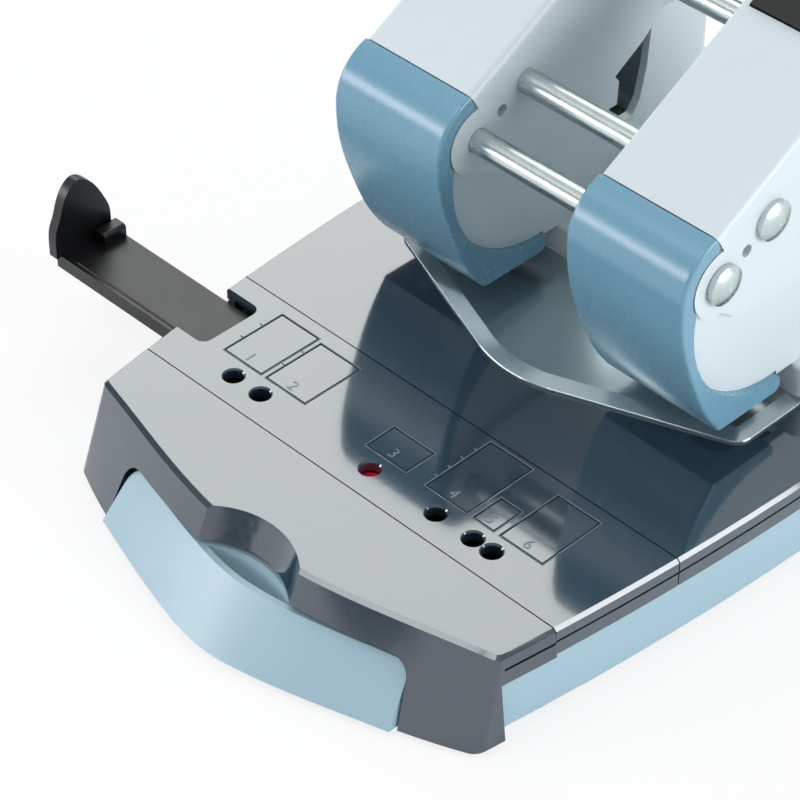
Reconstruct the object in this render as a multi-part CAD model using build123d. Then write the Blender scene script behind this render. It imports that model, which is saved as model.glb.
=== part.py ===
from build123d import *
import math
import os

os.makedirs("parts", exist_ok=True)

# Two-hole desk punch. Origin on the desk, midway between the two punches.
# +X to the right, +Y to the rear, +Z up. Millimetres.

# ---- driving dimensions: base ----
DECK_Z = 23.5            # top of the dark covers
COVER_T = 2.6            # thickness of the covers
BAND_H = 7.3             # depth of the covers' side skirt
SKIRT_T = 2.5            # thickness of the skirt
FLOOR_Z = 1.5            # underside of the tray
FLOOR_T = 1.8
STRIP_INSET = 0.5        # the tray's side sits this far inside the skirt
WAIST_HALF = 70.3        # widest half-width of the base
WAIST_Y = 23.0           # where it is widest
SIDE_CURVE = 0.000698    # half-width falls by this times the distance squared
REAR_Y = 103.0           # rear end of the base
REAR_CORNER_R = 12.0
FRONT_CORNER_Y = -91.2   # where the side meets the front edge
FRONT_TOP = ((0, -103.3), (17, -101.8), (38, -97.2))    # the top front edge, middle to side
FRONT_LOW_CORNER = (62.3, -98.4)                        # the front wall's lower corner
FRONT_LOW = ((0, -112.9), (24, -110.8), (46, -105.0))   # the lower front edge, middle to side
FRONT_CORNER_R = 4.0
COVER_WALL = 3.0
THUMB_R = 20.8           # thumb recess
THUMB_BACK_Y = -96.6     # its deepest point at the top
THUMB_LEAN = 3.4         # it runs out this far over the depth of the skirt
THUMB_LINING = 2.4
SEAM_FRONT_Y = -77.0     # front cover to format cover
SEAM_REAR_Y = -43.6      # format cover to rear deck
SEAM_GAP = 0.3
EDGE_R = 0.8             # bevel along the covers' top edges
BAND_LINE_Z = 19.6       # a fine groove along the skirt
BAND_LINE_H = 0.6
BAND_LINE_DEPTH = 0.5

# ---- driving dimensions: drawer ----
DRAWER_TOP_Z = 14.2
DRAWER_HALF_LOW = 45.4   # half-width of the drawer front at its lower edge
DRAWER_HALF_TOP = 43.0
DRAWER_TOP_EDGE = ((0, -107.2), (12, -105.9), (28, -102.1), (43.0, -98.2))
DRAWER_LOW_EDGE = ((0, -118.0), (13, -116.2), (30, -111.6), (46.0, -106.6))
DRAWER_CORNER_R = 5.0
DRAWER_LIP = 1.5         # the front's rim that the finger hooks over
PULL_DEPTH = 6.0         # depth of the finger pocket behind the rim
DRAWER_BACK_Y = -93.0    # rear face of the drawer front
BIN_TOP_Z = 9.0
BIN_REAR_Y = 12.0
BIN_WALL = 1.2
DRAWER_GAP = 0.5

# ---- driving dimensions: paper stop ----
WINDOW_Y = -69.6
WINDOW_D = 4.6
WINDOW_FIRST_X = -42.08
WINDOW_STEPS = (0, 8.8, 43.5, 63.5, 74.5, 80.0)
MARKED_WINDOW = 2        # the window that shows the marker at rest
PAGE_FRONT_Y = -65.1     # front line of every page frame
PAGE_FRAMES = ((-50.5, -38.0, -47.0), (-36.8, -23.8, -47.9), (-4.85, 7.9, -56.1),
               (13.4, 26.3, -44.7), (27.6, 34.1, -56.1), (35.5, 48.2, -46.9))   # left, right, rear line
SIDE_MARKS = ((-50.5, (-59, -53)), (-36.8, (-59, -53)), (13.4, (-61, -57, -53, -49)))
MARK_LENGTH = 0.7
LINE_WIDTH = 0.5         # engraved lines
LINE_DEPTH = 0.3
NOTCH_FRONT_Y = -67.1
NOTCH_REAR_Y = -49.4
NOTCH_X = -55.0
RAIL_TOP_Z = 20.5
RAIL_T = 3.75
RAIL_FRONT_Y = -66.7
RAIL_REAR_Y = -50.5
FIN_X = -108.0
FIN_T = 3.0
FIN_FOOT_Y = (-68.2, -51.4)
FIN_OUTLINE = ((-51.4, 25.0), (-53.3, 31.5), (-56.3, 36.7), (-60.3, 39.4), (-64.0, 36.8), (-66.6, 30.6), (-68.2, 24.0))

# ---- driving dimensions: heads ----
PUNCH_X = 40.0           # half of the 80 mm hole spacing
HEAD_IN = 18.6           # inner face of a head
HEAD_OUT = 51.3          # outer face of a head
SHEET = 1.8              # sheet of the arms
CHEEK_T = 2.0
CHEEK_GAP = 0.3          # between an arm and a cheek
PIVOT = (-17.1, 73.2)    # Y and Z of the pivot rod
PRESS = (-2.4, 82.0)     # Y and Z of the press rod
ROD_R = 3.0
DOME_R = 4.7             # riveted ends of the rods
DOME_H = 1.3
COLLAR_H = 1.3           # the straight part of a riveted end
CHEEK_C = (5.0, 64.3)    # centre of the round front of the cheeks
CHEEK_R = 29.7
CHEEK_TOP_FRONT = (-18.2, 81.2)
CHEEK_TOP_REAR_Z = 77.0
CHEEK_REAR_Y = 62.0
APERTURE = ((29.0, 52.5), (36.2, 52.5), (38.4, 56.0), (40.2, 64.0), (41.2, 75.4), (31.0, 72.0), (27.5, 60.0))
PLATE_TOP_Z = 25.5       # top of the ramp plate
RAMP_APEX = (6.0, -25.4)       # where the plate's front starts to slant back
RAMP_CORNER = (52.6, -7.4)     # its front corner
RAMP_REAR_Y = 76.0
RAMP_APEX_R = 30.0
RAMP_CORNER_R = 4.5
RAMP_RIM_H = 0.6         # upright part of the plate's rim
RAMP_BEND = 3.4          # the plate bends down over this width
RAMP_BEND_R = 5.0
STOP_Y = 12.0            # front face of the spacer block
SPACER_TOP_Z = 33.5
SPACER_REAR_Y = 73.0
SPACER_HALF = 53.5
CAP_FLOOR_Z = 31.2
CAP_OUTLINE = ((-29.1, 73.2), (-28.6, 65.0), (-27.0, 58.0), (-23.9, 49.0), (-19.8, 39.6), (-14.3, 31.2))
CAP_ROUND = 12.1         # radius of the cap's nose about the pivot
CAP_HEEL_Y = 5.8
CAP_EDGE_R = 0.9         # rounding of the cap's long side edges
SOCKET_R = 8.9           # hollow in the cap that the arm's nose turns in
GUIDE_NOSE_R = 6.5

# ---- driving dimensions: lever ----
ARM_TILT = 28.8          # rest angle of the arms
ARM_TOP = 12.1           # the arm's top face above the pivot
ARM_FRONT = 4.0          # where the top face starts, along the arm
ARM_NOSE = ((4.0, 7.27), (-8.3, 0), (-3.4, -7.57))    # round end about the pivot
FLANGE_LOW = ((-3.4, -7.57), (0.1, -14.5), (33.4, -32.9), (36.7, -27.7), (36.4, -25.3), (46.1, -24.8))
FLANGE_SWEEP = ((46.1, -24.8), (60, -19), (80, -9))
FLANGE_HEEL = ((94, -8), (98.5, -6.2), (100, -2))
ARM_BEND_R = 2.4
PEEP_HOLE = (-9.75, 77.55)      # small hole between the two rods, Y and Z at rest
PEEP_R = 1.5
WEB_END = 51.5           # where the black insert starts
ARM_END = 100.0
GRIP_END = 132.0
LEVER_TRAVEL = 32.0
TIE = (52.4, 1.8)        # the tie rod, along the arm and square to it
RIM_W = 2.8              # the arm's rim beside the insert
INSERT_GAP = 0.1
INSERT_TOP = 12.9        # the insert and the grip stand a little above the arm
INSERT_LOW = ((100.0, -6.5), (86, -6.5), (82, 9.0))
GRIP_LOW = -7.0
GRIP_CROWN = (118, 15.2)
GRIP_NOSE_Z = 6.5
GRIP_BELLY = (124, -5.5)

# ---- driving dimensions: punch and spring ----
PUNCH_R = 3.0
PUNCH_TIP_Z = 31.8
PUNCH_HEAD_R = 5.5
PUNCH_HEAD_T = 3.0
GUIDE_TOP_Z = 49.5
RUN_GAP = 0.08           # radial running clearance of the punch
SPRING_WIRE_R = 0.6
SPRING_R = 4.7
SPRING_TURNS = 7

# ---- driving dimensions: fixings ----
FOOT_R = 7.0
FOOT_SEAT = 0.8
FOOT_PLACES = ((0, 0), (-52, -80), (52, -80), (-54, 88), (54, 88))
SCREW_R = 1.6
SCREW_HEAD_R = 3.2
SCREW_HEAD_H = 1.6
SCREW_SINK = 1.2
SCREW_BOSS_R = 4.0
SCREW_PLACES = ((-55, -34), (55, -34), (-57, 70), (57, 70))
DIE_R = 6.0
DIE_BOTTOM_Z = 19.5
BOLT_X = 34.95
BOLT_Y = 46.0
BOLT_R = 3.0
BOLT_HEAD_R = 5.5
BOLT_HEAD_H = 6.0


def half_width(y):
    return WAIST_HALF - SIDE_CURVE * (y - WAIST_Y) ** 2


def save(shape, name):
    shape.label = name
    export_step(shape, f"parts/{name}.step")


def slab(x0, x1, y0, y1, z0, z1):
    """A plain block between two corners."""
    return Pos((x0 + x1) / 2, (y0 + y1) / 2, (z0 + z1) / 2) * Box(x1 - x0, y1 - y0, z1 - z0)


def rod(x0, x1, at, radius):
    """A round bar along X."""
    turned = Rot(0, 90, 0) * Cylinder(radius, x1 - x0)
    return Pos((x0 + x1) / 2, at[0], at[1]) * turned


def upright(x, y, z0, z1, radius):
    """A round bar along Z."""
    return Pos(x, y, (z0 + z1) / 2) * Cylinder(radius, z1 - z0)


def side_profile(lines, x0, x1):
    """A closed outline in Y and Z, drawn as edges, made solid from x0 to x1."""
    if not isinstance(lines, list):
        lines = [lines]
    face = make_face([Plane.YZ * line for line in lines])
    return Pos(x0, 0, 0) * extrude(face, x1 - x0, dir=(1, 0, 0))


def polygon_yz(points, x0, x1):
    return side_profile(Polyline(*points, close=True), x0, x1)


def mirrored(shape):
    return mirror(shape, Plane.YZ)


def at_arm(shape):
    """Carry a shape from arm coordinates (Y along the arm, Z square to it) to its rest place."""
    return Pos(0, PIVOT[0], PIVOT[1]) * Rot(ARM_TILT, 0, 0) * shape


def top_edges(shape, z):
    return [e for e in shape.edges() if abs(e.center().Z - z) < 0.01 and e.bounding_box().size.Z < 0.01]


# ---- base outline ----

def plan(y0, y1, inset):
    """The base's plan between two depths, its sides moved in by inset."""
    mid = (y0 + y1) / 2
    a = half_width(y0) - inset
    m = half_width(mid) - inset
    b = half_width(y1) - inset
    edges = [
        Line((-a, y0), (a, y0)),
        ThreePointArc((a, y0), (m, mid), (b, y1)),
        Line((b, y1), (-b, y1)),
        ThreePointArc((-b, y1), (-m, mid), (-a, y0)),
    ]
    return make_face(edges)


def front_edge(half):
    """The front edge as one smooth curve through half of its points and their mirror images."""
    left = [(-x, y) for x, y in reversed(half) if x > 0]
    return Spline(*left, *half)


def front_plan(half, back_y, corner_r):
    """The plan of the front end: the curved front edge, two sides and a straight back."""
    corner_x, corner_y = half[-1]
    back_x = half_width(back_y) + (corner_x - half_width(corner_y))
    edges = [
        front_edge(half),
        Line((corner_x, corner_y), (back_x, back_y)),
        Line((back_x, back_y), (-back_x, back_y)),
        Line((-back_x, back_y), (-corner_x, corner_y)),
    ]
    face = make_face(edges)
    corners = face.vertices().sort_by(Axis.Y)[:2]
    return fillet(corners, corner_r)


def drawn_in(half, wall):
    """The same edge moved in by a wall's thickness."""
    inner = [(x, y + wall) for x, y in half]
    inner[-1] = (inner[-1][0] - wall, inner[-1][1])
    return tuple(inner)


def cover_shell(y0, y1, rear_round):
    """A cover plate with a skirt down both sides, and down its rear if that is the base's end."""
    skirt_z = DECK_Z - BAND_H
    outer = extrude(Pos(0, 0, skirt_z) * plan(y0, y1, 0), BAND_H)
    if rear_round:
        outer = fillet(outer.edges().filter_by(Axis.Z).group_by(Axis.Y)[-1], REAR_CORNER_R)
    long_tops = [e for e in top_edges(outer, DECK_Z) if abs(e.center().X) > 1 or e.center().Y > REAR_Y - 1]
    outer = chamfer(long_tops, EDGE_R)
    inner_y1 = y1 - SKIRT_T if rear_round else y1 + 1
    inner = extrude(Pos(0, 0, skirt_z - 1) * plan(y0 - 1, inner_y1, SKIRT_T), BAND_H - COVER_T + 1)
    if rear_round:
        inner = fillet(inner.edges().filter_by(Axis.Z).group_by(Axis.Y)[-1], REAR_CORNER_R - SKIRT_T)
    return outer - inner - band_line(y0 - 1, y1 + 1, rear_round)


def band_line(y0, y1, rear_round):
    """The groove along the skirt between two depths, round the rear corners if that is the base's end."""
    ring = slab(-90, 90, y0, y1, BAND_LINE_Z, BAND_LINE_Z + BAND_LINE_H)
    core_y1 = REAR_Y - BAND_LINE_DEPTH if rear_round else y1 + 1
    core = extrude(Pos(0, 0, BAND_LINE_Z - 1) * plan(y0 - 1, core_y1, BAND_LINE_DEPTH), BAND_LINE_H + 2)
    if rear_round:
        rear_corners = core.edges().filter_by(Axis.Z).group_by(Axis.Y)[-1]
        core = fillet(rear_corners, REAR_CORNER_R - BAND_LINE_DEPTH)
    return ring - core


# ---- base pieces ----

def base_tray():
    strip_top = DECK_Z - BAND_H
    front_y = FRONT_CORNER_Y + 0.3
    outer = extrude(Pos(0, 0, FLOOR_Z) * plan(front_y, REAR_Y - STRIP_INSET, STRIP_INSET), strip_top - FLOOR_Z)
    outer = fillet(outer.edges().filter_by(Axis.Z).group_by(Axis.Y)[-1], REAR_CORNER_R)
    low = [e for e in outer.edges() if e.bounding_box().size.Z < 0.01 and abs(e.center().Z - FLOOR_Z) < 0.01]
    low = [e for e in low if e.center().Y > front_y + 1]
    outer = fillet(low, 1.0)
    wall = SKIRT_T
    inner_plan = plan(front_y - 1, REAR_Y - STRIP_INSET - wall, STRIP_INSET + wall)
    inner = extrude(Pos(0, 0, FLOOR_Z + FLOOR_T) * inner_plan, strip_top)
    inner = fillet(inner.edges().filter_by(Axis.Z).group_by(Axis.Y)[-1], REAR_CORNER_R - wall)
    tray = outer - inner
    floor_top = FLOOR_Z + FLOOR_T
    for side in (-1, 1):
        x = side * (DRAWER_HALF_LOW + 1.6)
        tray += slab(x - 0.8, x + 0.8, front_y, BIN_REAR_Y + 2, floor_top - 0.5, BIN_TOP_Z)
    tray += slab(-DRAWER_HALF_LOW, DRAWER_HALF_LOW, BIN_REAR_Y + 0.6, BIN_REAR_Y + 2.2,
                 floor_top - 0.5, BIN_TOP_Z)
    for x, y in FOOT_PLACES:
        tray -= upright(x, y, FLOOR_Z - 1, FLOOR_Z + FOOT_SEAT, FOOT_R + 0.1)
    for x, y in SCREW_PLACES:
        tray += upright(x, y, floor_top - 0.5, strip_top + 2, SCREW_BOSS_R)
        tray -= upright(x, y, FLOOR_Z - 1, FLOOR_Z + SCREW_SINK, SCREW_HEAD_R + 0.2)
        tray -= upright(x, y, FLOOR_Z - 1, strip_top + 3, SCREW_R)
    return tray


def foot(x, y):
    pad = upright(x, y, 0, FLOOR_Z + FOOT_SEAT, FOOT_R)
    return chamfer(pad.edges().group_by(Axis.Z)[0], 0.5)


def floor_screw(x, y):
    top = FLOOR_Z + SCREW_SINK
    head = upright(x, y, top - SCREW_HEAD_H, top, SCREW_HEAD_R)
    head = fillet(head.edges().group_by(Axis.Z)[0], 0.5)
    shank = upright(x, y, top, DECK_Z - BAND_H, SCREW_R)
    arm = 1.9
    slot = slab(x - arm, x + arm, y - 0.4, y + 0.4, 0, top - 0.8)
    cross = slab(x - 0.4, x + 0.4, y - arm, y + arm, 0, top - 0.8)
    return head + shank - slot - cross


def drawer_window(half_low, half_top, top_z, y0, y1, corner):
    """The drawer's passage: upright on the desk side, leaning in and rounded above."""
    pts = [(-half_low, FLOOR_Z - 1), (half_low, FLOOR_Z - 1), (half_top, top_z), (-half_top, top_z)]
    face = make_face(Plane.XZ * Polyline(*pts, close=True))
    block = Pos(0, y1, 0) * extrude(face, y1 - y0, dir=(0, -1, 0))
    return fillet(block.edges().filter_by(Axis.Y).group_by(Axis.Z)[-1], corner)


def thumb_recess(radius, low_z, high_z):
    """The round recess in the front edge, leaning out downwards as the front wall does."""
    lean = THUMB_LEAN / BAND_H
    back_y = THUMB_BACK_Y - THUMB_R
    low = Pos(0, back_y - lean * (DECK_Z - low_z), low_z) * Circle(radius)
    high = Pos(0, back_y - lean * (DECK_Z - high_z), high_z) * Circle(radius)
    return loft([low, high], ruled=True)


def front_cover():
    back_y = SEAM_FRONT_Y - SEAM_GAP / 2
    skirt_z = DECK_Z - BAND_H
    top_edge = FRONT_TOP + ((half_width(FRONT_CORNER_Y), FRONT_CORNER_Y),)
    low_edge = FRONT_LOW + (FRONT_LOW_CORNER,)
    low = front_plan(low_edge, back_y, FRONT_CORNER_R)
    high = front_plan(top_edge, back_y, FRONT_CORNER_R / 2)
    outer = loft([Pos(0, 0, FLOOR_Z) * low, Pos(0, 0, DECK_Z) * high], ruled=True)
    rim = [e for e in top_edges(outer, DECK_Z) if e.center().Y < back_y - 1]
    outer = chamfer(rim, EDGE_R)
    low_in = front_plan(drawn_in(low_edge, COVER_WALL), back_y + 2, 1.5)
    high_in = front_plan(drawn_in(top_edge, COVER_WALL), back_y + 2, 1.5)
    inner = loft([Pos(0, 0, FLOOR_Z) * low_in, Pos(0, 0, DECK_Z - COVER_T) * high_in], ruled=True)
    lining = thumb_recess(THUMB_R + THUMB_LINING, skirt_z, DECK_Z - 1) & outer
    cover = (outer - inner) + lining
    cover -= slab(-90, 90, FRONT_CORNER_Y, back_y + 5, 0, skirt_z)
    cover -= drawer_window(DRAWER_HALF_LOW + DRAWER_GAP, DRAWER_HALF_TOP + DRAWER_GAP,
                           skirt_z, -125, -80, DRAWER_CORNER_R + DRAWER_GAP)
    cover -= thumb_recess(THUMB_R, skirt_z - 2, DECK_Z + 1)
    cover -= band_line(FRONT_CORNER_Y + 1, back_y + 1, False)
    return cover


def page_frames():
    """Six page outlines and their small side marks, as shallow cuts in the format cover."""
    low = DECK_Z - LINE_DEPTH
    cuts = []
    for x0, x1, y1 in PAGE_FRAMES:
        outline = slab(x0, x1, PAGE_FRONT_Y, y1, low, DECK_Z + 1)
        outline -= slab(x0 + LINE_WIDTH, x1 - LINE_WIDTH, PAGE_FRONT_Y + LINE_WIDTH, y1 - LINE_WIDTH,
                        low - 1, DECK_Z + 2)
        cuts.append(outline)
    for x, ys in SIDE_MARKS:
        for y in ys:
            cuts.append(slab(x - MARK_LENGTH, x, y - LINE_WIDTH / 2, y + LINE_WIDTH / 2, low, DECK_Z + 1))
    return cuts


def format_cover():
    y0 = SEAM_FRONT_Y + SEAM_GAP / 2
    y1 = SEAM_REAR_Y - SEAM_GAP / 2
    cover = cover_shell(y0, y1, False)
    notch = slab(-90, NOTCH_X, NOTCH_FRONT_Y, NOTCH_REAR_Y, 0, DECK_Z + 1)
    notch = fillet(notch.edges().filter_by(Axis.Z).group_by(Axis.X)[-1], 2.5)
    cover -= notch
    for step in WINDOW_STEPS:
        x = WINDOW_FIRST_X + step
        cover -= upright(x, WINDOW_Y, DECK_Z - 5, DECK_Z + 1, WINDOW_D / 2)
        cover -= Pos(x, WINDOW_Y, DECK_Z - 0.2) * Cone(WINDOW_D / 2, WINDOW_D / 2 + 0.4, 0.4)
    for cut in page_frames():
        cover -= cut
    return cover


def rear_deck():
    deck = cover_shell(SEAM_REAR_Y + SEAM_GAP / 2, REAR_Y, True)
    for side in (-1, 1):
        deck -= upright(side * PUNCH_X, 0, 0, DECK_Z + 1, DIE_R)
        deck -= upright(side * BOLT_X, BOLT_Y, 0, DECK_Z + 1, BOLT_R)
    return deck


# ---- ramp plate, dies and spacer ----

def ramp_plan(inset):
    """The ramp plate's plan with its edge moved in."""
    slant = math.atan2(RAMP_CORNER[1] - RAMP_APEX[1], RAMP_CORNER[0] - RAMP_APEX[0])
    apex_x = RAMP_APEX[0] - inset * math.tan(slant / 2)
    apex_y = RAMP_APEX[1] + inset
    corner_x = RAMP_CORNER[0] - inset
    corner_y = RAMP_CORNER[1] + inset * math.tan(math.pi / 4 - slant / 2)
    rear_y = RAMP_REAR_Y - inset
    right = [(apex_x, apex_y), (corner_x, corner_y), (corner_x, rear_y)]
    left = [(-x, y) for x, y in reversed(right)]
    face = make_face(Polyline(*right, *left, close=True))
    apex = face.vertices().sort_by(Axis.Y)[:2]
    face = fillet(apex, RAMP_APEX_R - inset)
    corners = [v for v in face.vertices() if abs(abs(v.X) - corner_x) < 0.1]
    return fillet(corners, RAMP_CORNER_R - inset)


def ramp_plate():
    """A flat plate whose rim bends down to the deck all round."""
    rim_z = DECK_Z + RAMP_RIM_H
    plate = extrude(Pos(0, 0, DECK_Z) * ramp_plan(0), RAMP_RIM_H)
    plate += loft([Pos(0, 0, rim_z) * ramp_plan(0), Pos(0, 0, PLATE_TOP_Z) * ramp_plan(RAMP_BEND)], ruled=True)
    plate = fillet(top_edges(plate, rim_z), RAMP_RIM_H / 2)
    for side in (-1, 1):
        plate -= upright(side * PUNCH_X, 0, 0, PLATE_TOP_Z + 1, DIE_R)
        plate -= upright(side * BOLT_X, BOLT_Y, 0, PLATE_TOP_Z + 1, BOLT_R)
    return plate


def die_ring(side):
    ring = upright(side * PUNCH_X, 0, DIE_BOTTOM_Z, PLATE_TOP_Z, DIE_R)
    ring -= upright(side * PUNCH_X, 0, 0, PLATE_TOP_Z + 1, PUNCH_R + RUN_GAP)
    return ring


def spacer_block():
    block = slab(-SPACER_HALF, SPACER_HALF, STOP_Y, SPACER_REAR_Y, PLATE_TOP_Z, SPACER_TOP_Z)
    block = fillet(block.edges().filter_by(Axis.Z), 3)
    block = fillet(top_edges(block, SPACER_TOP_Z), 0.8)
    for side in (-1, 1):
        block -= upright(side * BOLT_X, BOLT_Y, 0, 40, BOLT_R)
    return block


def rail_guide():
    """A shallow channel under the format cover that the rail runs in."""
    floor_z = RAIL_TOP_Z - RAIL_T - 0.25
    guide = slab(-52, 52, WINDOW_Y - 5, NOTCH_REAR_Y + 2.4, floor_z - 1.5, floor_z)
    guide += slab(-52, 52, NOTCH_REAR_Y + 0.6, NOTCH_REAR_Y + 2.4, floor_z - 1, DECK_Z - COVER_T)
    guide += slab(-52, 52, WINDOW_Y - 5, WINDOW_Y - 3.9, floor_z - 1, DECK_Z - COVER_T)
    return guide


# ---- heads ----

def cheek_face():
    """Outline of a cheek plate in Y and Z."""
    cy, cz = CHEEK_C
    lift = math.sqrt(CHEEK_R ** 2 - (CHEEK_TOP_FRONT[0] - cy) ** 2)
    start = (CHEEK_TOP_FRONT[0], cz + lift)
    edges = [
        ThreePointArc(start, (cy - CHEEK_R, cz), (cy, cz - CHEEK_R)),
        Line((cy, cz - CHEEK_R), (cy + 2, cz - CHEEK_R)),
        Line((cy + 2, cz - CHEEK_R), (cy + 2, SPACER_TOP_Z)),
        Line((cy + 2, SPACER_TOP_Z), (CHEEK_REAR_Y, SPACER_TOP_Z)),
        Line((CHEEK_REAR_Y, SPACER_TOP_Z), (CHEEK_REAR_Y, CHEEK_TOP_REAR_Z)),
        Line((CHEEK_REAR_Y, CHEEK_TOP_REAR_Z), start),
    ]
    return edges


def press_slot(x0, x1):
    """The curved slot in the cheeks that the press rod travels in."""
    radius = math.dist(PIVOT, PRESS)
    start = math.degrees(math.atan2(PRESS[1] - PIVOT[1], PRESS[0] - PIVOT[0]))
    cut = rod(x0, x1, PRESS, ROD_R + 0.6)
    steps = 8
    for step in range(1, steps + 1):
        turn = math.radians(start - LEVER_TRAVEL * step / steps)
        at = (PIVOT[0] + radius * math.cos(turn), PIVOT[1] + radius * math.sin(turn))
        cut += rod(x0, x1, at, ROD_R + 0.6)
    return cut


def housing():
    """Two cheeks, a floor and a back, bent from one sheet, for the right head."""
    inner = HEAD_IN + SHEET + CHEEK_GAP
    outer = HEAD_OUT - SHEET - CHEEK_GAP
    near = side_profile(cheek_face(), inner, inner + CHEEK_T)
    far = side_profile(cheek_face(), outer - CHEEK_T, outer)
    body = near + far
    body += slab(inner, outer, CHEEK_REAR_Y - CHEEK_T, CHEEK_REAR_Y, SPACER_TOP_Z, 70)
    body += slab(inner, outer, STOP_Y + 8, CHEEK_REAR_Y, SPACER_TOP_Z, SPACER_TOP_Z + CHEEK_T)
    corners = [e for e in body.edges().filter_by(Axis.Z) if abs(e.center().Y - CHEEK_REAR_Y) < 0.01]
    corners = [e for e in corners if abs(e.center().X - inner) < 0.01 or abs(e.center().X - outer) < 0.01]
    body = fillet(corners, 2.5)
    body -= press_slot(inner - 1, outer + 1)
    body -= rod(inner - 1, outer + 1, PIVOT, ROD_R)
    window = polygon_yz(APERTURE, inner - 1, inner + CHEEK_T + 1)
    window = fillet(window.edges().filter_by(Axis.X), 1.2)
    body -= window
    body -= upright(BOLT_X, BOLT_Y, 30, 38, BOLT_R)
    return body


def cap():
    """The blue-grey front moulding of the right head."""
    py, pz = PIVOT
    seam = math.radians(101.8)
    over = math.radians(140)
    top_r = math.hypot(ARM_FRONT - 0.4, ARM_TOP)
    top = (py + top_r * math.cos(seam), pz + top_r * math.sin(seam))
    edges = [
        ThreePointArc(top, (py + CAP_ROUND * math.cos(over), pz + CAP_ROUND * math.sin(over)), CAP_OUTLINE[0]),
        Spline(*CAP_OUTLINE, tangents=((0, -1), (1, -1.35))),
        Line(CAP_OUTLINE[-1], (CAP_HEEL_Y, CAP_FLOOR_Z)),
        Line((CAP_HEEL_Y, CAP_FLOOR_Z), (CAP_HEEL_Y, 36.0)),
        Line((CAP_HEEL_Y, 36.0), top),
    ]
    body = side_profile(edges, HEAD_IN, HEAD_OUT)
    front = [e for e in body.edges() if e.center().Y < -17.5 and abs(e.center().X - 35) > 10]
    front = [e for e in front if e.length > 5 and e.bounding_box().size.X < 0.01]
    body = fillet(front, CAP_EDGE_R)
    body -= rod(HEAD_IN - 1, HEAD_OUT + 1, CHEEK_C, CHEEK_R + 0.05)
    body -= rod(HEAD_IN - 1, HEAD_OUT + 1, PIVOT, SOCKET_R)
    heel_edge = [e for e in body.edges().filter_by(Axis.X) if e.center().Y > CAP_HEEL_Y - 0.1]
    heel_edge = [e for e in heel_edge if e.center().Z < CAP_FLOOR_Z + 0.3]
    body = fillet(heel_edge, 1.8)
    body -= upright(PUNCH_X, 0, 20, 45, GUIDE_NOSE_R + 0.2)
    return body


def guide_block():
    inner = HEAD_IN + SHEET + CHEEK_GAP + CHEEK_T
    outer = HEAD_OUT - SHEET - CHEEK_GAP - CHEEK_T
    block = slab(inner, outer, -10, STOP_Y, 34, GUIDE_TOP_Z)
    block = block & rod(inner, outer, CHEEK_C, CHEEK_R)
    block += upright(PUNCH_X, 0, CAP_FLOOR_Z, GUIDE_TOP_Z, GUIDE_NOSE_R)
    block -= upright(PUNCH_X, 0, 20, GUIDE_TOP_Z + 1, PUNCH_R + RUN_GAP)
    return block


def clamp_bolt():
    seat = SPACER_TOP_Z + CHEEK_T
    head = upright(BOLT_X, BOLT_Y, seat, seat + BOLT_HEAD_H, BOLT_HEAD_R)
    head = fillet(head.edges().group_by(Axis.Z)[-1], 0.8)
    socket = Pos(BOLT_X, BOLT_Y, seat + 3) * extrude(RegularPolygon(2.9, 6), 4)
    shank = upright(BOLT_X, BOLT_Y, DECK_Z - 5, seat, BOLT_R)
    return head + shank - socket


def domed_rod(reach, at):
    """A bar along X from -reach to reach, with a riveted head at each end."""
    ball = (DOME_R ** 2 + DOME_H ** 2) / (2 * DOME_H)
    seat = reach + COLLAR_H
    sphere = Pos(seat + DOME_H - ball, 0, 0) * Rot(0, 90, 0) * Sphere(ball)
    dome = sphere & slab(seat, seat + 2 * DOME_H, -ball, ball, -ball, ball)
    collar = rod(reach, seat, (0, 0), DOME_R)
    bar = rod(-reach, reach, (0, 0), ROD_R) + collar + mirrored(collar) + dome + mirrored(dome)
    return Pos(0, at[0], at[1]) * bar


def pivot_rod():
    return domed_rod(HEAD_OUT + 0.15, PIVOT)


# ---- lever, in arm coordinates ----

def arm():
    """One bent channel: a top face and two flanges, for the right head."""
    edges = [
        Line((ARM_FRONT, ARM_TOP), ARM_NOSE[0]),
        ThreePointArc(*ARM_NOSE),
        Polyline(*FLANGE_LOW),
        Spline(*FLANGE_SWEEP, tangents=((1, 0.12), (1, 0.1))),
        Line(FLANGE_SWEEP[-1], FLANGE_HEEL[0]),
        ThreePointArc(*FLANGE_HEEL),
        Line(FLANGE_HEEL[-1], (ARM_END, ARM_TOP)),
        Line((ARM_END, ARM_TOP), (ARM_FRONT, ARM_TOP)),
    ]
    outer = side_profile(edges, HEAD_IN, HEAD_OUT)
    bends = [e for e in outer.edges() if abs(e.center().Z - ARM_TOP) < 0.01 and e.length > 60]
    outer = fillet(bends, ARM_BEND_R)
    inner = slab(HEAD_IN + SHEET, HEAD_OUT - SHEET, -20, ARM_END + 5, -40, ARM_TOP - SHEET)
    inner = fillet(inner.edges().filter_by(Axis.Y).group_by(Axis.Z)[-1], 0.8)
    channel = outer - inner
    channel -= slab(HEAD_IN + RIM_W, HEAD_OUT - RIM_W, WEB_END, ARM_END + 5, 5, ARM_TOP + 1)
    channel -= rod(HEAD_IN - 1, HEAD_OUT + 1, (0, 0), ROD_R + 0.08)
    channel -= rod(HEAD_IN - 1, HEAD_OUT + 1, arm_place(PRESS), ROD_R)
    channel -= rod(HEAD_IN - 1, HEAD_OUT + 1, arm_place(PEEP_HOLE), PEEP_R)
    channel -= rod(HEAD_IN - 1, HEAD_IN + SHEET + 0.1, TIE, ROD_R)
    return channel


def arm_place(world):
    """Turn a Y and Z of the rest pose into arm coordinates."""
    dy = world[0] - PIVOT[0]
    dz = world[1] - PIVOT[1]
    tilt = math.radians(ARM_TILT)
    return (dy * math.cos(tilt) + dz * math.sin(tilt), dz * math.cos(tilt) - dy * math.sin(tilt))


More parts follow.
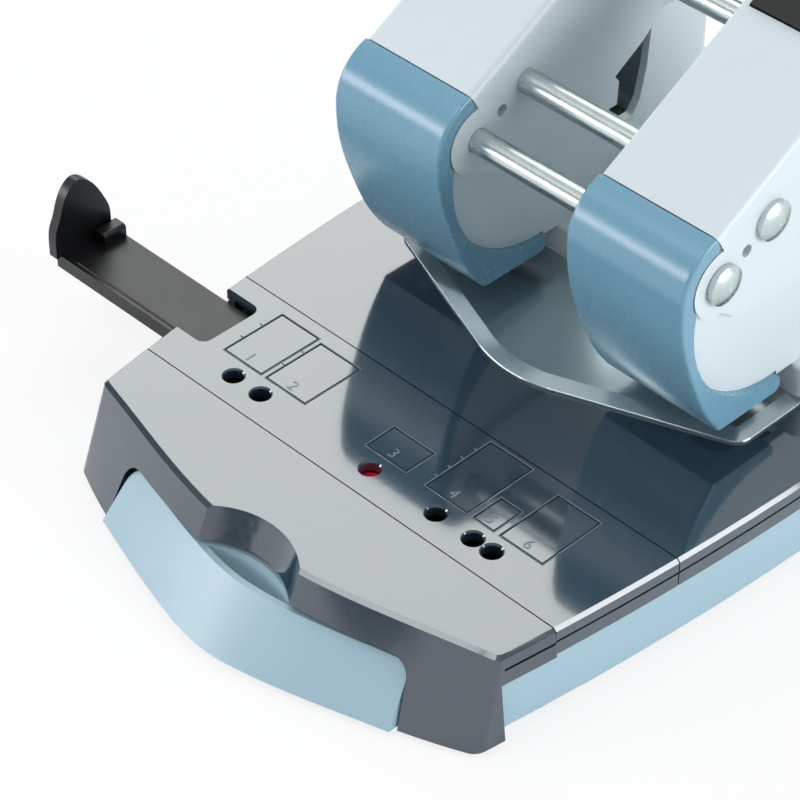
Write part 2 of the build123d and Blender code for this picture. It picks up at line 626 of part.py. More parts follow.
def press_rod():
    return domed_rod(HEAD_OUT, arm_place(PRESS))


def tie_rod():
    reach = HEAD_IN + SHEET
    return rod(-reach, reach, TIE, ROD_R)


def handle_insert():
    """The black moulding let into the right arm."""
    x0 = HEAD_IN + RIM_W + INSERT_GAP
    x1 = HEAD_OUT - RIM_W - INSERT_GAP
    start = WEB_END + 0.3
    pts = [(start, INSERT_LOW[-1][1]), (start, INSERT_TOP), (ARM_END, INSERT_TOP), *INSERT_LOW]
    body = polygon_yz(pts, x0, x1)
    body = fillet(body.edges().filter_by(Axis.Y).group_by(Axis.Z)[-1], 0.6)
    return body


def handle_grip():
    """The bar across both arms that the palm pushes."""
    root = ARM_END + 0.1
    nose = (GRIP_END, GRIP_NOSE_Z)
    edges = [
        Line((root, GRIP_LOW), (root, INSERT_TOP)),
        Spline((root, INSERT_TOP), GRIP_CROWN, nose, tangents=((1, 0.05), (0, -1))),
        Spline(nose, GRIP_BELLY, (root, GRIP_LOW), tangents=((0, -1), (-1, 0.1))),
    ]
    bar = side_profile(edges, -HEAD_OUT, HEAD_OUT)
    end_faces = bar.faces().sort_by(Axis.X)
    ends = list(end_faces[0].edges()) + list(end_faces[-1].edges())
    ends = [e for e in ends if e.center().Y > ARM_END + 1]
    return fillet(ends, 3)


# ---- punch and spring ----

def punch():
    head_top = PRESS[1] - ROD_R - 0.1
    body = upright(PUNCH_X, 0, PUNCH_TIP_Z, head_top - 1, PUNCH_R)
    body += upright(PUNCH_X, 0, head_top - PUNCH_HEAD_T, head_top, PUNCH_HEAD_R)
    body = fillet(body.edges().group_by(Axis.Z)[-1], 0.6)
    body -= Pos(PUNCH_X, 0, PUNCH_TIP_Z) * Rot(0, 90, 0) * Cylinder(1.2, 10)
    return body


def biarc(p1, t1, p2, t2):
    """Two arcs that leave p1 along t1 and reach p2 along t2."""
    across = p2 - p1
    both = t1 + t2
    spread = 2 * (1 - t1.dot(t2))
    reach = (-across.dot(both) + math.sqrt(across.dot(both) ** 2 + spread * across.dot(across))) / spread
    q1 = p1 + t1 * reach
    q2 = p2 - t2 * reach
    middle = (q1 + q2) * 0.5
    bend = (q2 - q1).normalized()
    return [TangentArc(p1, middle, tangent=t1), TangentArc(middle, p2, tangent=bend)]


def return_spring():
    """A helix from the guide block to the punch head, in quarter turns of two arcs each."""
    low = GUIDE_TOP_Z + SPRING_WIRE_R + 0.1
    high = PRESS[1] - ROD_R - 0.1 - PUNCH_HEAD_T - SPRING_WIRE_R - 0.1
    quarters = SPRING_TURNS * 4
    rise = (high - low) / quarters
    pitch_angle = math.atan2(rise, SPRING_R * math.pi / 2)
    nodes = []
    for step in range(quarters + 1):
        turn = step * math.pi / 2
        place = Vector(PUNCH_X + SPRING_R * math.cos(turn), SPRING_R * math.sin(turn), low + rise * step)
        flat = math.cos(pitch_angle)
        way = Vector(-flat * math.sin(turn), flat * math.cos(turn), math.sin(pitch_angle))
        nodes.append((place, way))
    path = []
    for (p1, t1), (p2, t2) in zip(nodes, nodes[1:]):
        path += biarc(p1, t1, p2, t2)
    print("spring gap", round(rise * 4 - 2 * SPRING_WIRE_R, 2))
    start = Plane(origin=nodes[0][0], z_dir=nodes[0][1])
    return sweep(start * Circle(SPRING_WIRE_R), path=Wire([e.edge() for e in path]))


# ---- drawer ----

def drawer_plan(half):
    corner_x, corner_y = half[-1]
    edges = [
        front_edge(half),
        Line((corner_x, corner_y), (corner_x, DRAWER_BACK_Y)),
        Line((corner_x, DRAWER_BACK_Y), (-corner_x, DRAWER_BACK_Y)),
        Line((-corner_x, DRAWER_BACK_Y), (-corner_x, corner_y)),
    ]
    return make_face(edges)


def bin_shape(inset, z0, z1, y0, y1):
    """The bin's outline between two depths, its sides leaning in upwards."""
    low = DRAWER_HALF_LOW - 0.9 - inset
    high = DRAWER_HALF_TOP + 0.5 - inset
    face = make_face(Plane.XZ * Polyline((-low, z0), (low, z0), (high, z1), (-high, z1), close=True))
    return Pos(0, y1, 0) * extrude(face, y1 - y0, dir=(0, -1, 0))


def chip_drawer():
    low_z = FLOOR_Z + 0.4
    low = Pos(0, 0, low_z) * drawer_plan(DRAWER_LOW_EDGE)
    high = Pos(0, 0, DRAWER_TOP_Z) * drawer_plan(DRAWER_TOP_EDGE)
    front = loft([low, high], ruled=True)
    front = front & drawer_window(DRAWER_HALF_LOW, DRAWER_HALF_TOP, DRAWER_TOP_Z + 0.4, -125, -80, DRAWER_CORNER_R)
    pocket_z = DRAWER_TOP_Z - PULL_DEPTH
    rim = Pos(0, 0, pocket_z) * drawer_plan(tuple((x, y + DRAWER_LIP) for x, y in DRAWER_TOP_EDGE))
    pocket = extrude(rim, PULL_DEPTH + 1) & thumb_recess(THUMB_R + 1.0, pocket_z, DRAWER_TOP_Z + 1)
    front -= pocket
    bin_z = FLOOR_Z + FLOOR_T + 0.4
    box = bin_shape(0, bin_z, BIN_TOP_Z, DRAWER_BACK_Y - 1, BIN_REAR_Y)
    box -= bin_shape(BIN_WALL, bin_z + 1.3, BIN_TOP_Z + 1, DRAWER_BACK_Y + BIN_WALL, BIN_REAR_Y - BIN_WALL)
    return front + box


# ---- paper stop ----

def stop_rail():
    low = RAIL_TOP_Z - RAIL_T
    marker_x = WINDOW_FIRST_X + WINDOW_STEPS[MARKED_WINDOW]
    end_x = marker_x + 7
    rail = slab(FIN_X + 0.4, end_x, RAIL_FRONT_Y, RAIL_REAR_Y, low, RAIL_TOP_Z)
    rail = fillet(rail.edges().filter_by(Axis.Z), 1.0)
    rail += slab(marker_x - 4, marker_x + 4, WINDOW_Y - 3.2, RAIL_FRONT_Y + 1, low, RAIL_TOP_Z - 0.6)
    rail -= upright(marker_x, WINDOW_Y, low + 1, DECK_Z, 2.6)
    block = slab(FIN_X + FIN_T, FIN_X + FIN_T + 4.3, RAIL_REAR_Y - 6.5, RAIL_REAR_Y, RAIL_TOP_Z - 0.5, DECK_Z + 0.2)
    rail += fillet(block.edges().filter_by(Axis.Y).group_by(Axis.Z)[-1], 1.0)
    return rail


def rail_fin():
    """The upright plate that stands on the rail's end."""
    foot_front, foot_rear = FIN_FOOT_Y
    edges = [
        Line((foot_front, RAIL_TOP_Z), (foot_rear, RAIL_TOP_Z)),
        Line((foot_rear, RAIL_TOP_Z), FIN_OUTLINE[0]),
        Spline(*FIN_OUTLINE, tangents=((0, 1), (0, -1))),
        Line(FIN_OUTLINE[-1], (foot_front, RAIL_TOP_Z)),
    ]
    fin = side_profile(edges, FIN_X, FIN_X + FIN_T)
    return fillet(fin.faces().sort_by(Axis.X)[0].edges(), 0.6)


def red_marker():
    marker_x = WINDOW_FIRST_X + WINDOW_STEPS[MARKED_WINDOW]
    low = RAIL_TOP_Z - RAIL_T + 1
    return upright(marker_x, WINDOW_Y, low, RAIL_TOP_Z - 0.3, 2.6)


# ---- write every piece ----

save(base_tray(), "base_tray")
save(front_cover(), "front_cover")
save(format_cover(), "format_cover")
save(rear_deck(), "rear_deck")
for index, (x, y) in enumerate(FOOT_PLACES, start=1):
    save(foot(x, y), f"foot_{index}")
for index, (x, y) in enumerate(SCREW_PLACES, start=1):
    save(floor_screw(x, y), f"floor_screw_{index}")
save(ramp_plate(), "ramp_plate")
save(die_ring(-1), "die_ring_left")
save(die_ring(1), "die_ring_right")
save(spacer_block(), "spacer_block")
save(rail_guide(), "rail_guide")
save(pivot_rod(), "pivot_rod")

PAIRS = {
    "housing": housing(),
    "cap": cap(),
    "guide_block": guide_block(),
    "clamp_bolt": clamp_bolt(),
    "punch": punch(),
    "return_spring": return_spring(),
    "arm": at_arm(arm()),
    "handle_insert": at_arm(handle_insert()),
}
for name, shape in PAIRS.items():
    save(shape, f"{name}_right")
    save(mirrored(shape), f"{name}_left")

save(at_arm(press_rod()), "press_rod")
save(at_arm(tie_rod()), "tie_rod")
save(at_arm(handle_grip()), "handle_grip")
save(chip_drawer(), "chip_drawer")
save(stop_rail(), "stop_rail")
save(rail_fin(), "rail_fin")
save(red_marker(), "red_marker")
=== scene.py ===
import bmesh
import bpy
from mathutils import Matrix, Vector


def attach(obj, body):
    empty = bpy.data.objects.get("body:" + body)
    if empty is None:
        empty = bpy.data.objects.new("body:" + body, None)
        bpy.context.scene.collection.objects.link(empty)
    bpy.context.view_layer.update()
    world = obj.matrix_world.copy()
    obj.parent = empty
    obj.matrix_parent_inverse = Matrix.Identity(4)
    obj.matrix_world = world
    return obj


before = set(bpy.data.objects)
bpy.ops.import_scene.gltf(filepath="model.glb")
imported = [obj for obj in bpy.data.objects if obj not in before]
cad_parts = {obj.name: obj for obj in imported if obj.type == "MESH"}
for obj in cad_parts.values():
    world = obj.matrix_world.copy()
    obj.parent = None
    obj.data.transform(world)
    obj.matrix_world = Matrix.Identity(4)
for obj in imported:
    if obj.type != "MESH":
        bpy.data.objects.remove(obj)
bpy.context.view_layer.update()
scene = bpy.context.scene

# ---------------------------------------------------------------------------
# Where the machine stands and how it is seen
# A pale desk in an even white room, brighter above than at the horizon, with
# four soft lamps round it. The camera looks down from the front right.
# ---------------------------------------------------------------------------
CAMERA_PLACE = Vector((0.37659, -0.42939, 0.48456))
CAMERA_TARGET = Vector((-0.010265, -0.049096, 0.0235))
CAMERA_LENS = 145.607
CAMERA_SENSOR = 36.0
CAMERA_FAR = 20.0
DESK_REACH = 4.0
DESK_PALE = (0.86, 0.87, 0.88, 1)
DESK_GLOW_SHARE = 0.8
ROOM_LEVEL = 0.8
ROOM_SHADES = (
    (0.0, (0.30, 0.32, 0.35, 1)),
    (0.55, (0.34, 0.3502, 0.3604, 1)),
    (0.72, (0.70, 0.721, 0.742, 1)),
    (1.0, (0.95, 0.98, 1.0, 1)),
)
LAMP_AIM = Vector((0, 0, 0.04))
WARM_GREEN = (0.97, 1.0, 0.98)
COOL = (0.98, 0.99, 1.0)
ROSE = (1.0, 0.97, 1.0)
CYAN = (0.97, 1.0, 1.0)


def wire(tree, source, target):
    tree.links.new(source, target)


def node(tree, kind, **settings):
    made = tree.nodes.new(kind)
    for name, value in settings.items():
        setattr(made, name, value)
    return made


camera_data = bpy.data.cameras.new("view")
camera_data.lens = CAMERA_LENS
camera_data.sensor_width = CAMERA_SENSOR
camera_data.clip_end = CAMERA_FAR
camera = bpy.data.objects.new("view", camera_data)
camera.location = CAMERA_PLACE
camera.rotation_euler = (CAMERA_TARGET - CAMERA_PLACE).to_track_quat("-Z", "Y").to_euler()
scene.collection.objects.link(camera)
scene.camera = camera
scene.view_settings.view_transform = "Standard"

room = bpy.data.worlds.new("white room")
scene.world = room
room.use_nodes = True
tree = room.node_tree
tree.nodes.clear()
way = node(tree, "ShaderNodeTexCoord")
height = node(tree, "ShaderNodeSeparateXYZ")
wire(tree, way.outputs["Generated"], height.inputs[0])
sky = node(tree, "ShaderNodeValToRGB")
stops = sky.color_ramp.elements
stops[0].position, stops[0].color = ROOM_SHADES[0]
stops[1].position, stops[1].color = ROOM_SHADES[-1]
for position, colour in ROOM_SHADES[1:-1]:
    stops.new(position).color = colour
wire(tree, height.outputs["Z"], sky.inputs["Fac"])
lit = node(tree, "ShaderNodeBackground")
lit.inputs["Strength"].default_value = ROOM_LEVEL
wire(tree, sky.outputs["Color"], lit.inputs["Color"])
seen = node(tree, "ShaderNodeBackground")
seen.inputs["Color"].default_value = (1, 1, 1, 1)
seen.inputs["Strength"].default_value = 1.0
ray = node(tree, "ShaderNodeLightPath")
choose = node(tree, "ShaderNodeMixShader")
wire(tree, ray.outputs["Is Camera Ray"], choose.inputs[0])
wire(tree, lit.outputs[0], choose.inputs[1])
wire(tree, seen.outputs[0], choose.inputs[2])
out = node(tree, "ShaderNodeOutputWorld")
wire(tree, choose.outputs[0], out.inputs["Surface"])


def lamp(name, way_to, distance, wide, tall, power, tint):
    """A rectangular soft lamp, seen from the machine in the direction way_to."""
    data = bpy.data.lights.new(name, "AREA")
    data.shape = "RECTANGLE"
    data.size = wide
    data.size_y = tall
    data.energy = power
    data.color = tint
    holder = bpy.data.objects.new(name, data)
    holder.location = LAMP_AIM + Vector(way_to).normalized() * distance
    holder.rotation_euler = (LAMP_AIM - holder.location).to_track_quat("-Z", "Y").to_euler()
    scene.collection.objects.link(holder)


lamp("rear_left_lamp", (-0.60, 0.56, 0.62), 1.6, 1.15, 0.80, 9.5, WARM_GREEN)
lamp("right_lamp", (0.93, 0.30, 0.32), 1.3, 0.8, 0.7, 12.5, COOL)
lamp("front_left_lamp", (-0.66, -0.70, 0.27), 1.5, 1.3, 0.32, 11.0, ROSE)
lamp("top_lamp", (-0.20, -0.45, 0.87), 1.7, 0.9, 0.6, 5.5, CYAN)

desk_mesh = bpy.data.meshes.new("desk")
form = bmesh.new()
corners = ((-1, -1), (1, -1), (1, 1), (-1, 1))
form.faces.new([form.verts.new((x * DESK_REACH, y * DESK_REACH, 0)) for x, y in corners])
form.to_mesh(desk_mesh)
form.free()
desk = bpy.data.objects.new("desk", desk_mesh)
scene.collection.objects.link(desk)
pale = bpy.data.materials.new("pale desk")
pale.use_nodes = True
tree = pale.node_tree
tree.nodes.clear()
paint = node(tree, "ShaderNodeBsdfDiffuse")
paint.inputs["Color"].default_value = DESK_PALE
glow = node(tree, "ShaderNodeEmission")
glow.inputs["Strength"].default_value = 1.0
ray = node(tree, "ShaderNodeLightPath")
part = node(tree, "ShaderNodeMath", operation="MULTIPLY")
wire(tree, ray.outputs["Is Camera Ray"], part.inputs[0])
part.inputs[1].default_value = DESK_GLOW_SHARE
choose = node(tree, "ShaderNodeMixShader")
wire(tree, part.outputs[0], choose.inputs[0])
wire(tree, paint.outputs[0], choose.inputs[1])
wire(tree, glow.outputs[0], choose.inputs[2])
out = node(tree, "ShaderNodeOutputMaterial")
wire(tree, choose.outputs[0], out.inputs["Surface"])
desk_mesh.materials.append(pale)

# ---------------------------------------------------------------------------
# Base tray and chip drawer
# Injection-moulded in pale blue plastic with a satin skin. The drawer slides
# in the tray and its front fills the mouth of the front cover.
# ---------------------------------------------------------------------------


def effect(name, inputs, outputs):
    """A shader node group with named sockets. Returns the tree and its ends."""
    group = bpy.data.node_groups.new(name, "ShaderNodeTree")
    for label, kind, value in inputs:
        socket = group.interface.new_socket(label, in_out="INPUT", socket_type=kind)
        socket.default_value = value
    for label, kind in outputs:
        group.interface.new_socket(label, in_out="OUTPUT", socket_type=kind)
    return group, node(group, "NodeGroupInput"), node(group, "NodeGroupOutput")


def noise(tree, vector, scale, detail, rough=0.55):
    made = node(tree, "ShaderNodeTexNoise")
    made.inputs["Detail"].default_value = detail
    made.inputs["Roughness"].default_value = rough
    if isinstance(scale, float):
        made.inputs["Scale"].default_value = scale
    else:
        wire(tree, scale, made.inputs["Scale"])
    wire(tree, vector, made.inputs["Vector"])
    return made.outputs["Fac"]


def blend_number(tree, factor, low, high):
    """A number that runs from low to high with factor."""
    made = node(tree, "ShaderNodeMapRange")
    wire(tree, factor, made.inputs["Value"])
    for value, name in ((low, "To Min"), (high, "To Max")):
        if isinstance(value, float):
            made.inputs[name].default_value = value
        else:
            wire(tree, value, made.inputs[name])
    return made.outputs["Result"]


def times(tree, first, second, operation="MULTIPLY"):
    made = node(tree, "ShaderNodeMath", operation=operation)
    for value, socket in ((first, made.inputs[0]), (second, made.inputs[1])):
        if isinstance(value, (int, float)):
            socket.default_value = value
        else:
            wire(tree, value, socket)
    return made.outputs[0]


# The skin that a mould leaves: a fine grain, slow colour drift, faint rubs.
moulded, way_in, way_out = effect(
    "moulded skin",
    [("Colour", "NodeSocketColor", (0.5, 0.5, 0.5, 1)), ("Roughness", "NodeSocketFloat", 0.4),
     ("Grain Size", "NodeSocketFloat", 2600.0), ("Drift", "NodeSocketFloat", 0.06),
     ("Rubs", "NodeSocketFloat", 0.1)],
    [("Colour", "NodeSocketColor"), ("Roughness", "NodeSocketFloat"), ("Height", "NodeSocketFloat")],
)
place = node(moulded, "ShaderNodeTexCoord").outputs["Object"]
slow = noise(moulded, place, 22.0, 3.0)
grain = noise(moulded, place, way_in.outputs["Grain Size"], 2.0)
rub = noise(moulded, place, 160.0, 6.0, 0.75)
darker = node(moulded, "ShaderNodeHueSaturation")
wire(moulded, way_in.outputs["Colour"], darker.inputs["Color"])
level = times(moulded, 1.0, way_in.outputs["Drift"], "SUBTRACT")
wire(moulded, blend_number(moulded, slow, level, 1.0), darker.inputs["Value"])
wire(moulded, darker.outputs["Color"], way_out.inputs["Colour"])
rubbed = times(moulded, times(moulded, rub, 0.5, "SUBTRACT"), way_in.outputs["Rubs"])
wire(moulded, times(moulded, way_in.outputs["Roughness"], rubbed, "ADD"), way_out.inputs["Roughness"])
wire(moulded, grain, way_out.inputs["Height"])


def finish_of(name, group, settings, bump, distance, **fixed):
    """A material: one Principled surface fed by a skin group."""
    made = bpy.data.materials.new(name)
    made.use_nodes = True
    tree = made.node_tree
    surface = tree.nodes["Principled BSDF"]
    skin = node(tree, "ShaderNodeGroup", node_tree=group)
    for label, value in settings.items():
        skin.inputs[label].default_value = value
    wire(tree, skin.outputs["Colour"], surface.inputs["Base Color"])
    wire(tree, skin.outputs["Roughness"], surface.inputs["Roughness"])
    relief = node(tree, "ShaderNodeBump")
    relief.inputs["Strength"].default_value = bump
    relief.inputs["Distance"].default_value = distance
    wire(tree, skin.outputs["Height"], relief.inputs["Height"])
    wire(tree, relief.outputs["Normal"], surface.inputs["Normal"])
    for label, value in fixed.items():
        surface.inputs[label.replace("_", " ")].default_value = value
    return made


def dress(names, finish):
    """Give CAD pieces their finish."""
    for name in names:
        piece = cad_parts[name]
        piece.data.materials.clear()
        piece.data.materials.append(finish)


PALE_BLUE = (0.345, 0.495, 0.575, 1)
pale_blue = finish_of("pale blue plastic", moulded,
                      {"Colour": PALE_BLUE, "Roughness": 0.32, "Grain Size": 2400.0, "Drift": 0.05,
                       "Rubs": 0.10}, 0.10, 0.0002)
dress(["base_tray", "chip_drawer"], pale_blue)

# ---------------------------------------------------------------------------
# Feet and floor screws
# Five soft rubber pads pressed into shallow seats in the tray's underside.
# Four zinc-plated cross-head screws hold the tray to the deck.
# ---------------------------------------------------------------------------
RUBBER = (0.02, 0.02, 0.021, 1)
soft_rubber = finish_of("soft rubber", moulded,
                        {"Colour": RUBBER, "Roughness": 0.8, "Grain Size": 1500.0, "Drift": 0.2,
                         "Rubs": 0.15}, 0.4, 0.0003)
dress([f"foot_{n}" for n in range(1, 6)], soft_rubber)

# ---------------------------------------------------------------------------
# Front cover, format cover and rear deck
# Three lacquered mouldings in a dark slate gloss that mirrors what stands on
# it. They clip down on the tray and show their thickness as a side band.
# ---------------------------------------------------------------------------
DARK_SLATE = (0.018, 0.034, 0.054, 1)
dark_gloss = finish_of("dark gloss plastic", moulded,
                       {"Colour": DARK_SLATE, "Roughness": 0.10, "Grain Size": 900.0, "Drift": 0.25,
                        "Rubs": 0.06}, 0.02, 0.0002,
                       Specular_IOR_Level=0.9, Coat_Weight=1.0, Coat_Roughness=0.06)
dress(["front_cover", "format_cover", "rear_deck"], dark_gloss)

# ---------------------------------------------------------------------------
# Page frames and numerals
# Fine raised lines on the format cover outline six pages, with side marks and
# a plain numeral in each. They are moulded with the cover.
# ---------------------------------------------------------------------------
DECK_TOP = 0.0235
FRAME_FRONT = -0.0651
PAGE_FRAMES = (                    # left, right and rear line of each page
    (-0.0505, -0.0380, -0.0470),
    (-0.0368, -0.0238, -0.0479),
    (-0.00485, 0.0079, -0.0561),
    (0.0134, 0.0263, -0.0447),
    (0.0276, 0.0341, -0.0561),
    (0.0355, 0.0482, -0.0469),
)
SIDE_MARKS = (
    (-0.0505, (-0.059, -0.053)),
    (-0.0368, (-0.059, -0.053)),
    (0.0134, (-0.061, -0.057, -0.053, -0.049)),
)
MARK_REACH = 0.0009
LINE_RADIUS = 0.00016
BEAD_SIDES = 8
LINE_GREY = (0.16, 0.20, 0.23, 1)
NUMERAL_SIZE = 0.0042
NUMERAL_RAISE = 0.00009
NUMERAL_FOOT = 0.0012


def bead_tree():
    """Geometry nodes: a round bead laid along every edge of the path mesh."""
    tree = bpy.data.node_groups.new("bead along a path", "GeometryNodeTree")
    sockets = {}
    inputs = (("Path", "Geometry"), ("Bead Radius", "Float"), ("Sides", "Int"), ("Finish", "Material"))
    for label, kind in inputs:
        socket = tree.interface.new_socket(label, in_out="INPUT", socket_type="NodeSocket" + kind)
        sockets[label] = socket.identifier
    tree.interface.new_socket("Geometry", in_out="OUTPUT", socket_type="NodeSocketGeometry")
    start = node(tree, "NodeGroupInput")
    path = node(tree, "GeometryNodeMeshToCurve")
    wire(tree, start.outputs["Path"], path.inputs[0])
    ring = node(tree, "GeometryNodeCurvePrimitiveCircle")
    wire(tree, start.outputs["Bead Radius"], ring.inputs["Radius"])
    wire(tree, start.outputs["Sides"], ring.inputs["Resolution"])
    swept = node(tree, "GeometryNodeCurveToMesh")
    swept.inputs["Fill Caps"].default_value = True
    wire(tree, path.outputs[0], swept.inputs[0])
    wire(tree, ring.outputs[0], swept.inputs["Profile Curve"])
    real = node(tree, "GeometryNodeRealizeInstances")
    wire(tree, swept.outputs[0], real.inputs[0])
    painted = node(tree, "GeometryNodeSetMaterial")
    wire(tree, real.outputs[0], painted.inputs[0])
    wire(tree, start.outputs["Finish"], painted.inputs["Material"])
    end = node(tree, "NodeGroupOutput")
    wire(tree, painted.outputs[0], end.inputs[0])
    return tree, sockets


BEADS, BEAD_SOCKETS = bead_tree()


def baked(holder, name):
    """The object's evaluated shape as a plain mesh object at the origin."""
    bpy.context.view_layer.update()
    shape = bpy.data.meshes.new_from_object(holder.evaluated_get(bpy.context.evaluated_depsgraph_get()))
    shape.name = name
    scene.collection.objects.unlink(holder)
    bpy.data.objects.remove(holder)
    made = bpy.data.objects.new(name, shape)
    scene.collection.objects.link(made)
    return made


def beads(name, points, edges, radius, finish):
    """Round beads along the edges between the points, as one plain mesh."""
    path = bpy.data.meshes.new(name + " path")
    path.from_pydata(points, edges, [])
    holder = bpy.data.objects.new(name + " path", path)
    scene.collection.objects.link(holder)
    change = holder.modifiers.new("beads", "NODES")
    change.node_group = BEADS
    for label, value in (("Bead Radius", radius), ("Sides", BEAD_SIDES), ("Finish", finish)):
        change[BEAD_SOCKETS[label]] = value
    return baked(holder, name)


points, edges = [], []
for x0, x1, y1 in PAGE_FRAMES:
    first = len(points)
    corners = ((x0, FRAME_FRONT), (x1, FRAME_FRONT), (x1, y1), (x0, y1))
    points += [(x, y, DECK_TOP) for x, y in corners]
    edges += [(first + k, first + (k + 1) % 4) for k in range(4)]
for x, marks in SIDE_MARKS:
    for y in marks:
        points += [(x - MARK_REACH, y, DECK_TOP), (x, y, DECK_TOP)]
        edges.append((len(points) - 2, len(points) - 1))
line_gloss = finish_of("line gloss", moulded,
                       {"Colour": LINE_GREY, "Roughness": 0.22, "Grain Size": 900.0, "Drift": 0.1,
                        "Rubs": 0.06}, 0.02, 0.0002)
page_lines = beads("page_lines", points, edges, LINE_RADIUS, line_gloss)
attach(page_lines, "frame")


def numeral(text, x, y, finish):
    """One raised figure, its foot towards the user."""
    data = bpy.data.curves.new("figure", "FONT")
    data.body = text
    data.size = NUMERAL_SIZE
    data.extrude = NUMERAL_RAISE
    data.align_x = "CENTER"
    holder = bpy.data.objects.new("figure", data)
    scene.collection.objects.link(holder)
    made = baked(holder, "figure")
    for corner in made.data.vertices:
        corner.co += Vector((x, y, DECK_TOP))
    made.data.materials.clear()
    made.data.materials.append(finish)
    return made


def joined(name, parts):
    """One object from several, all of them at the origin."""
    form = bmesh.new()
    for part in parts:
        form.from_mesh(part.data)
    shape = bpy.data.meshes.new(name)
    form.to_mesh(shape)
    form.free()
    shape.materials.append(parts[0].data.materials[0])
    for part in parts:
        bpy.data.objects.remove(part)
    made = bpy.data.objects.new(name, shape)
    scene.collection.objects.link(made)
    return made


figures = [numeral(str(count), (x0 + x1) / 2, FRAME_FRONT + NUMERAL_FOOT, line_gloss)
           for count, (x0, x1, y1) in enumerate(PAGE_FRAMES, start=1)]
numerals = joined("numerals", figures)
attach(numerals, "frame")

# ---------------------------------------------------------------------------
# Ramp plate, spacer block, housings and arms
# Pressed steel with a pale grey powder coat: a faint ripple, softly bright.
# The ramp plate is thin bare sheet, its rim bent down to the deck.
# ---------------------------------------------------------------------------
coat, way_in, way_out = effect(
    "paint coat",
    [("Colour", "NodeSocketColor", (0.5, 0.5, 0.5, 1)), ("Roughness", "NodeSocketFloat", 0.4),
     ("Drift", "NodeSocketFloat", 0.05), ("Rubs", "NodeSocketFloat", 0.1)],
    [("Colour", "NodeSocketColor"), ("Roughness", "NodeSocketFloat"), ("Height", "NodeSocketFloat")],
)
place = node(coat, "ShaderNodeTexCoord").outputs["Object"]
slow = noise(coat, place, 30.0, 4.0)
ripple = noise(coat, place, 700.0, 2.0)
speck = noise(coat, place, 3800.0, 1.0)
rub = noise(coat, place, 120.0, 7.0, 0.8)
darker = node(coat, "ShaderNodeHueSaturation")
wire(coat, way_in.outputs["Colour"], darker.inputs["Color"])
level = times(coat, 1.0, way_in.outputs["Drift"], "SUBTRACT")
wire(coat, blend_number(coat, slow, level, 1.0), darker.inputs["Value"])
wire(coat, darker.outputs["Color"], way_out.inputs["Colour"])
rubbed = times(coat, times(coat, rub, 0.5, "SUBTRACT"), way_in.outputs["Rubs"])
wire(coat, times(coat, way_in.outputs["Roughness"], rubbed, "ADD"), way_out.inputs["Roughness"])
wire(coat, times(coat, ripple, times(coat, speck, 0.4), "ADD"), way_out.inputs["Height"])

PALE_GREY = (0.62, 0.69, 0.72, 1)
pale_grey = finish_of("pale grey powder coat", coat,
                      {"Colour": PALE_GREY, "Roughness": 0.34, "Drift": 0.05, "Rubs": 0.12}, 0.10, 0.0002)
dress(["spacer_block", "housing_left", "housing_right", "arm_left", "arm_right"], pale_grey)
SHEET_GREY = (0.46, 0.55, 0.58, 1)
bright_sheet = finish_of("bright grey sheet", coat,
                         {"Colour": SHEET_GREY, "Roughness": 0.22, "Drift": 0.08, "Rubs": 0.12},
                         0.05, 0.0002, Metallic=0.9)
dress(["ramp_plate"], bright_sheet)

# ---------------------------------------------------------------------------
# Caps
# Blue-grey satin mouldings pushed over the fronts of the two heads. They
# hide the punches and guide them down to the ramp plate.
# ---------------------------------------------------------------------------
BLUE_GREY = (0.15, 0.325, 0.44, 1)
blue_grey = finish_of("blue-grey plastic", moulded,
                      {"Colour": BLUE_GREY, "Roughness": 0.27, "Grain Size": 2600.0, "Drift": 0.05,
                       "Rubs": 0.10}, 0.08, 0.0002, Coat_Weight=0.25, Coat_Roughness=0.2)
dress(["cap_left", "cap_right"], blue_grey)

# ---------------------------------------------------------------------------
# Rods, punches, dies, springs, bolts and screws
# Turned steel, bright zinc-plated, with the fine streaks of drawing. The
# rods are riveted to a dome at each end, and the springs are coiled wire.
# ---------------------------------------------------------------------------
drawn, way_in, way_out = effect(
    "drawn steel",
    [("Colour", "NodeSocketColor", (0.7, 0.7, 0.7, 1)), ("Roughness", "NodeSocketFloat", 0.3),
     ("Stretch", "NodeSocketVector", (1, 1, 1))],
    [("Colour", "NodeSocketColor"), ("Roughness", "NodeSocketFloat"), ("Height", "NodeSocketFloat")],
)
place = node(drawn, "ShaderNodeTexCoord").outputs["Object"]
along = node(drawn, "ShaderNodeVectorMath", operation="MULTIPLY")
wire(drawn, place, along.inputs[0])
wire(drawn, way_in.outputs["Stretch"], along.inputs[1])
streak = noise(drawn, along.outputs[0], 1400.0, 4.0, 0.7)
cloud = noise(drawn, place, 260.0, 4.0, 0.7)
darker = node(drawn, "ShaderNodeHueSaturation")
wire(drawn, way_in.outputs["Colour"], darker.inputs["Color"])
wire(drawn, blend_number(drawn, cloud, 0.78, 1.08), darker.inputs["Value"])
wire(drawn, darker.outputs["Color"], way_out.inputs["Colour"])
uneven = times(drawn, way_in.outputs["Roughness"], blend_number(drawn, streak, 0.7, 1.3))
wire(drawn, uneven, way_out.inputs["Roughness"])
wire(drawn, streak, way_out.inputs["Height"])

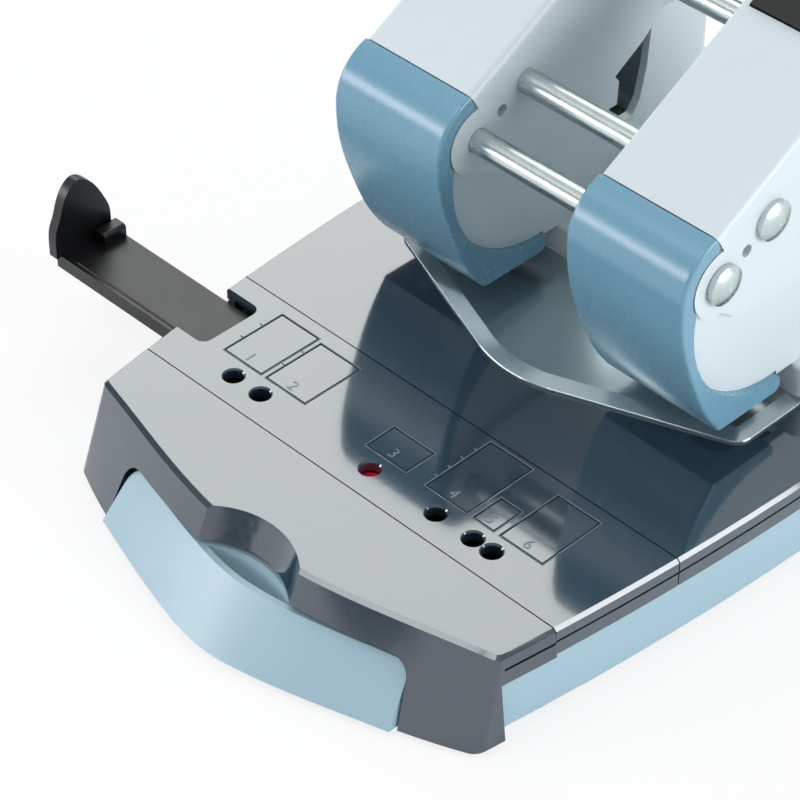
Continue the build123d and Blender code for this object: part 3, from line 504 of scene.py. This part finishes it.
ZINC = (0.60, 0.67, 0.66, 1)
ACROSS = (0.06, 1, 1)
UPRIGHT = (1, 1, 0.06)
along_x = finish_of("zinc streaked across", drawn,
                    {"Colour": ZINC, "Roughness": 0.27, "Stretch": ACROSS}, 0.05, 0.0001, Metallic=1.0)
along_z = finish_of("zinc streaked upright", drawn,
                    {"Colour": ZINC, "Roughness": 0.25, "Stretch": UPRIGHT}, 0.15, 0.0001, Metallic=1.0)
dress(["pivot_rod", "press_rod", "tie_rod"], along_x)
dress([f"{name}_{side}" for name in ("punch", "die_ring", "return_spring", "clamp_bolt")
       for side in ("left", "right")], along_z)
dress([f"floor_screw_{n}" for n in range(1, 5)], along_z)

# ---------------------------------------------------------------------------
# Stop rail, rail fin, rail guide, guide blocks, handle inserts and grip
# Black plastic with a fine spark-eroded grain. The rail slides in a channel
# under the format cover, and a thin bead runs along its front edge.
# ---------------------------------------------------------------------------
BLACK = (0.0035, 0.004, 0.005, 1)
black = finish_of("black plastic", moulded,
                  {"Colour": BLACK, "Roughness": 0.36, "Grain Size": 2200.0, "Drift": 0.2, "Rubs": 0.12},
                  0.16, 0.0002)
dress(["stop_rail", "rail_fin", "rail_guide", "guide_block_left", "guide_block_right",
       "handle_insert_left", "handle_insert_right", "handle_grip"], black)

RAIL_TOP = 0.0205
RAIL_BEAD_Y = -0.0655
RAIL_BEAD_RADIUS = 0.0003
RAIL_BEAD = ((-0.1005, RAIL_BEAD_Y, RAIL_TOP), (-0.0590, RAIL_BEAD_Y, RAIL_TOP))
rail_line = beads("rail_line", RAIL_BEAD, [(0, 1)], RAIL_BEAD_RADIUS, black)
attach(rail_line, "stop_rail")

# ---------------------------------------------------------------------------
# Marker
# A red plastic plug pressed into the rail's tongue. It shows through the
# window of the page that the rail is set to.
# ---------------------------------------------------------------------------
RED = (0.93, 0.02, 0.07, 1)
red = finish_of("red plastic", moulded,
                {"Colour": RED, "Roughness": 0.35, "Grain Size": 2400.0, "Drift": 0.1, "Rubs": 0.1},
                0.1, 0.0002)
dress(["red_marker"], red)
